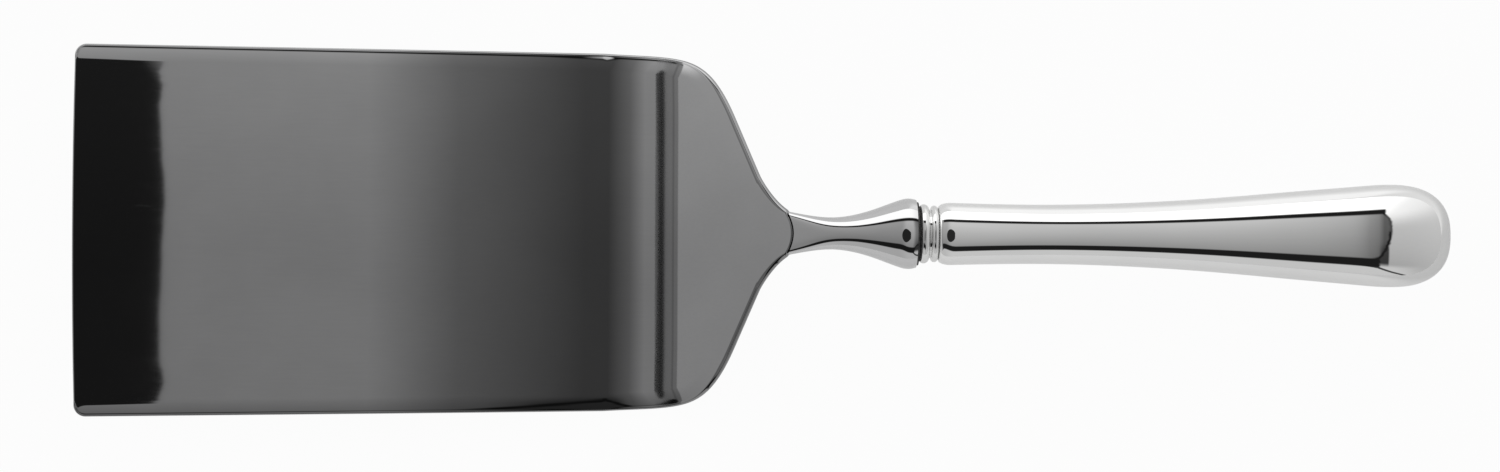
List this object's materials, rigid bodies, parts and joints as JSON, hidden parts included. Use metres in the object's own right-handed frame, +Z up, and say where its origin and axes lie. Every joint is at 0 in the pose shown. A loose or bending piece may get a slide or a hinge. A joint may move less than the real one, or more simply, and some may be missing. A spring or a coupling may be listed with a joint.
{
  "type": "lasagna server",
  "caption": "Wide square-ended serving blade, cranked at the heel, on a waisted neck and bell bolster, with bead rings and a hollow handle that widens to a rounded end",
  "frame": {"origin": "on the table, under the middle of the server's length and width, as it stands on the blade's heel and the underside of the handle's end", "axes": "+X along the server towards the handle's end, +Y across the blade, +Z up from the table"},
  "size_m": [0.2542, 0.0686, 0.0184],
  "materials": {
    "blade_steel": "polished",
    "bolster_steel": "polished",
    "collar_silver": "polished",
    "handle_silver": "polished",
    "filler_cement": "matte"
  },
  "bodies": {
    "root": {"blade": "blade_steel", "bolster": "bolster_steel", "collar": "collar_silver", "front_bead_ring": "collar_silver", "rear_bead_ring": "collar_silver", "upper_handle_shell": "handle_silver", "lower_handle_shell": "handle_silver", "handle_filler": "filler_cement"}
  },
  "joints": []
}
